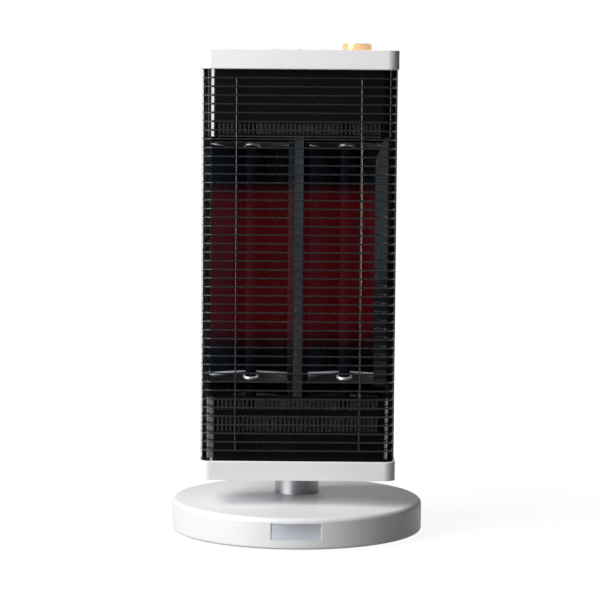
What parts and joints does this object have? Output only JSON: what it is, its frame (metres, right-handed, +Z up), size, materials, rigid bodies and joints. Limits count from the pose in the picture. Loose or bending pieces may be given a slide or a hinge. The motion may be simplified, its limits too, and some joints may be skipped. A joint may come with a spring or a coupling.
{
  "type": "far infrared heater",
  "caption": "Free-standing far infrared heater: tall head with mirror troughs, rods and a wire guard on a silver column and round foot; it swings, leans back and turns.",
  "frame": {"origin": "on the floor at the middle of the round foot", "axes": "+Z up, the heating side faces -Y, +X to the right as seen from the front"},
  "size_m": [0.35, 0.35, 0.682],
  "materials": {
    "white_shell": "satin",
    "black_panel": "satin",
    "mirror_sheet": "polished",
    "rod_ceramic": "satin",
    "bright_metal": "polished",
    "guard_metal": "satin",
    "silver_tube": "satin",
    "hinge_metal": "satin",
    "gear_plastic": "matte",
    "sheet_steel": "satin",
    "iron_weight": "matte",
    "foot_rubber": "matte",
    "badge_silver": "satin",
    "dial_amber": "gloss",
    "dial_silver": "satin",
    "dark_plastic": "matte",
    "motor_metal": "satin",
    "board_green": "satin",
    "button_plastic": "satin"
  },
  "bodies": {
    "base": {"base_cover": "white_shell", "badge_plate": "badge_silver", "base_plate": "sheet_steel", "ballast_blocks": "iron_weight", "rubber_feet": "foot_rubber", "cord_gland": "dark_plastic", "swing_motor": "motor_metal", "power_board": "board_green", "board_spacers": "dark_plastic", "tip_over_switch": "dark_plastic"},
    "stand": {"turntable": "hinge_metal", "sector_gear": "gear_plastic", "column": "silver_tube", "column_head": "silver_tube", "tilt_pin": "bright_metal"},
    "pinion": {"drive_pinion": "gear_plastic"},
    "tilt": {"tilt_arm": "hinge_metal", "roll_retainer": "hinge_metal"},
    "head": {"top_cap": "white_shell", "bottom_cap": "white_shell", "upper_deck": "black_panel", "lower_deck": "black_panel", "rear_shell": "white_shell", "chassis_plate": "sheet_steel", "left_side_frame": "black_panel", "right_side_frame": "black_panel", "upper_panel": "black_panel", "lower_panel": "black_panel", "left_reflector": "mirror_sheet", "right_reflector": "mirror_sheet", "reflector_divider": "mirror_sheet", "upper_end_plates": "mirror_sheet", "lower_end_plates": "mirror_sheet", "left_heater_rod": "rod_ceramic", "right_heater_rod": "rod_ceramic", "rod_terminals": "bright_metal", "guard_wires": "guard_metal", "guard_uprights": "guard_metal", "guard_rails": "guard_metal", "guard_clips": "guard_metal", "overheat_cutout": "dark_plastic", "terminal_block": "dark_plastic", "control_board": "board_green", "dial_encoder": "dark_plastic", "button_switches": "dark_plastic"},
    "dial": {"dial_ring": "dial_amber", "dial_cap": "dial_silver"},
    "power_key": {"power_button": "button_plastic"},
    "swing_key": {"swing_button": "button_plastic"},
    "timer_key": {"timer_button": "button_plastic"}
  },
  "joints": [
    {"name": "oscillation", "type": "hinge", "parent": "base", "child": "stand", "pos_m": [0, 0.02, 0], "axis": [0, 0, 1], "range_deg": [-35, 35]},
    {"name": "pinion_spin", "type": "hinge", "parent": "base", "child": "pinion", "pos_m": [0, -0.052, 0], "axis": [0, 0, 1], "range_deg": [-180, 180]},
    {"name": "head_tilt", "type": "hinge", "parent": "stand", "child": "tilt", "pos_m": [0, 0.016, 0.39], "axis": [-1, 0, 0], "range_deg": [0, 20]},
    {"name": "head_turn", "type": "hinge", "parent": "tilt", "child": "head", "pos_m": [0, 0, 0.39], "axis": [0, 1, 0], "range_deg": [0, 90]},
    {"name": "dial_turn", "type": "hinge", "parent": "head", "child": "dial", "pos_m": [0.0775, -0.062, 0.6725], "axis": [0, 0, -1], "range_deg": [0, 270]},
    {"name": "power_press", "type": "slide", "parent": "head", "child": "power_key", "axis": [0, 0, -1], "range_m": [0, 0.0015], "stiffness_N_per_m": 400},
    {"name": "swing_press", "type": "slide", "parent": "head", "child": "swing_key", "axis": [0, 0, -1], "range_m": [0, 0.0015], "stiffness_N_per_m": 400},
    {"name": "timer_press", "type": "slide", "parent": "head", "child": "timer_key", "axis": [0, 0, -1], "range_m": [0, 0.0015], "stiffness_N_per_m": 400}
  ],
  "couplings": [
    {"joint": "pinion_spin", "follows": "oscillation", "ratio": -5}
  ]
}
